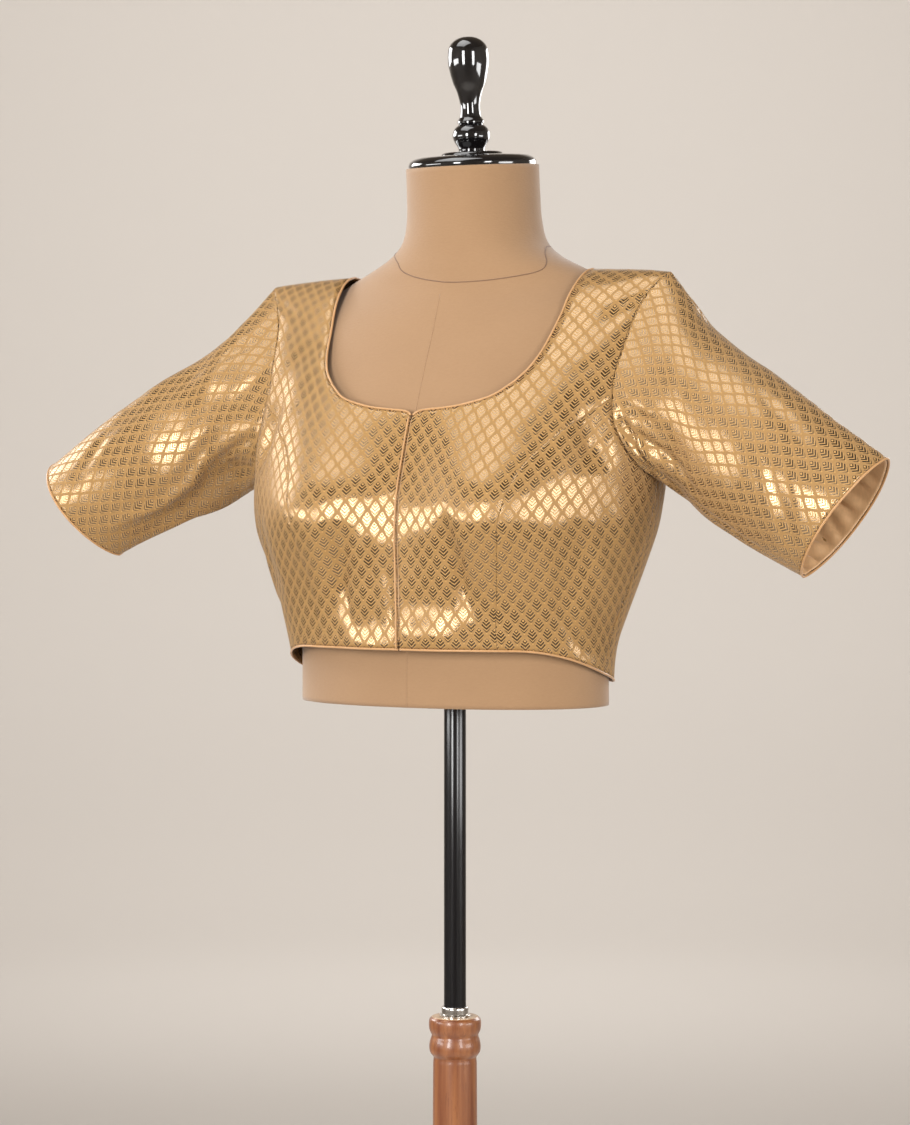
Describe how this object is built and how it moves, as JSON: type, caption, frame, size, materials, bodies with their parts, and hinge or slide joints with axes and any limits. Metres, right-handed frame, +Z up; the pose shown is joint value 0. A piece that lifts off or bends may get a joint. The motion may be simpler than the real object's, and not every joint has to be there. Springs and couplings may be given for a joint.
{
  "type": "saree blouse on a dress form",
  "caption": "Front-opening brocade blouse with elbow sleeves, set out on a limbless dress form that slides on a turned stand.",
  "frame": {"origin": "centre of the stand's underside, on the floor", "axes": "+Z up, -Y towards the garment's front, +X towards the wearer's left"},
  "size_m": [0.8194, 0.36, 1.489],
  "materials": {
    "brocade": "metallic sheen",
    "satin": "satin",
    "jersey": "matte",
    "lacquer": "gloss",
    "beech": "satin varnish",
    "enamel": "gloss",
    "nickel": "polished"
  },
  "bodies": {
    "stand": {"stand_base": "beech", "stand_column": "beech", "ferrule": "nickel"},
    "form": {"dress_form": "jersey", "neck_cap": "lacquer", "finial": "lacquer", "pole": "enamel", "back": "brocade", "front_centre_left": "brocade", "front_centre_right": "brocade", "front_side_left": "brocade", "front_side_right": "brocade", "sleeve_left": "brocade", "sleeve_right": "brocade", "sleeve_lining_left": "satin", "sleeve_lining_right": "satin", "cuff_piping_left": "satin", "cuff_piping_right": "satin", "neck_piping": "satin", "hem_piping": "satin", "front_edge_piping": "satin", "front_lap": "satin"}
  },
  "joints": [
    {"name": "mast_slide", "type": "slide", "parent": "stand", "child": "form", "axis": [0, 0, 1], "range_m": [-0.2, 0.15]}
  ]
}
